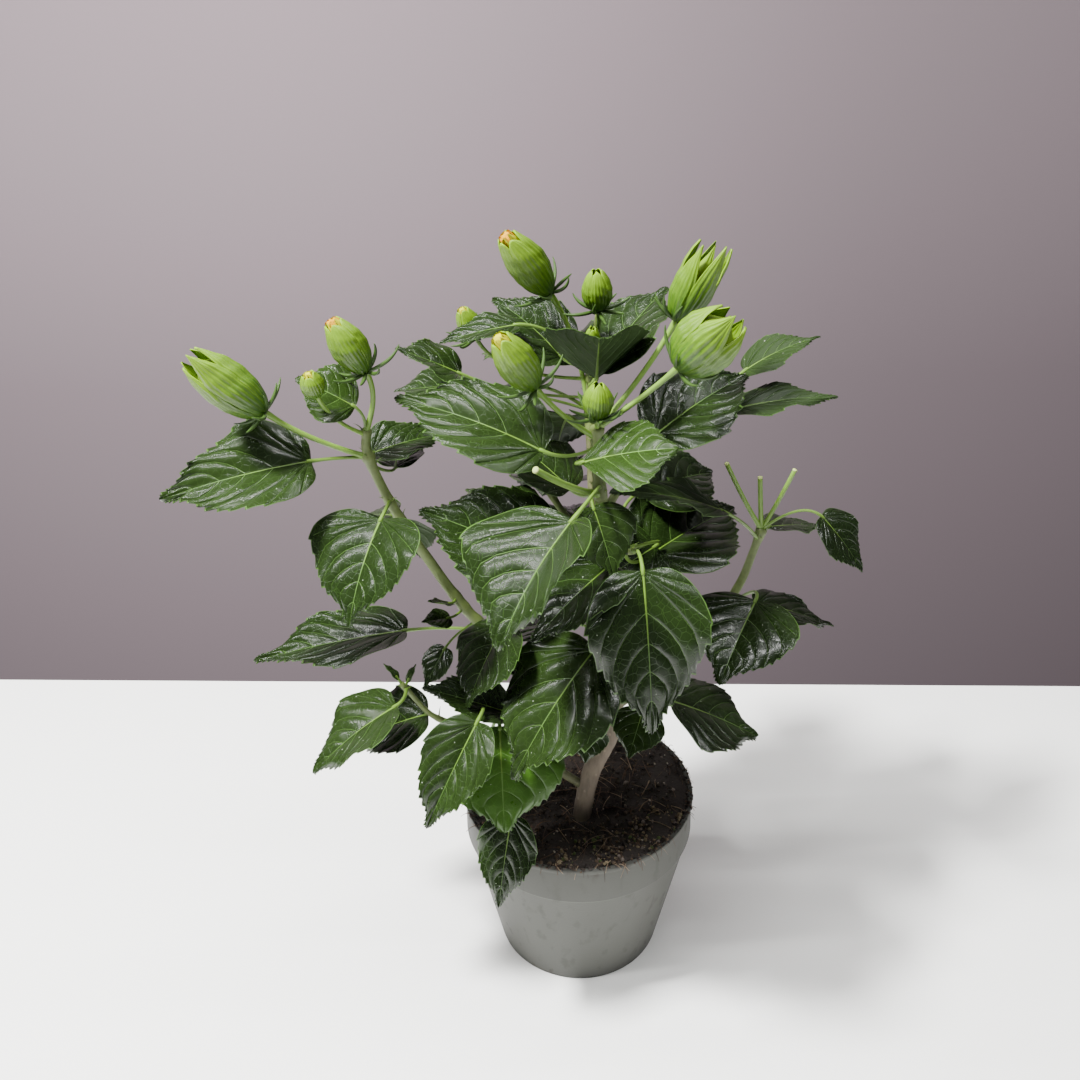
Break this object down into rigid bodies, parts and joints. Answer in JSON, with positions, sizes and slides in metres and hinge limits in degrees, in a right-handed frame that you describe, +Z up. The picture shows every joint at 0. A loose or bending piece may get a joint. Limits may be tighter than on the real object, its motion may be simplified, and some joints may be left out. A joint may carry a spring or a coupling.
{
  "type": "potted hibiscus shrub",
  "caption": "Young hibiscus shrub in a tapered round nursery pot, with toothed glossy leaves and green-yellow flower buds on long stalks.",
  "frame": {"origin": "centre of the pot's flat underside", "axes": "+Z up along the pot's axis, +X to the right and +Y to the back as the reference view looks at the plant"},
  "size_m": [0.3509, 0.2205, 0.4106],
  "materials": {
    "pot": "satin, light grey, soil marks",
    "soil": "rough, moist dark peat",
    "bark": "rough grey-brown bark",
    "green_bark": "matte green-brown young bark",
    "foliage": "glossy dark green leaves, yellow-green buds"
  },
  "bodies": {
    "root": {"pot": "pot", "potting_soil": "soil", "trunk": "bark", "bough_left": "green_bark", "bough_lower_left": "green_bark", "bough_right": "green_bark", "bough_back": "green_bark", "foliage_left": "foliage", "foliage_lower_left": "foliage", "foliage_fork": "foliage", "foliage_front": "foliage", "foliage_front_right": "foliage", "foliage_top_front": "foliage", "foliage_top_back": "foliage", "foliage_top_right": "foliage", "foliage_right": "foliage", "foliage_back_low": "foliage", "foliage_back_middle": "foliage"}
  },
  "joints": []
}
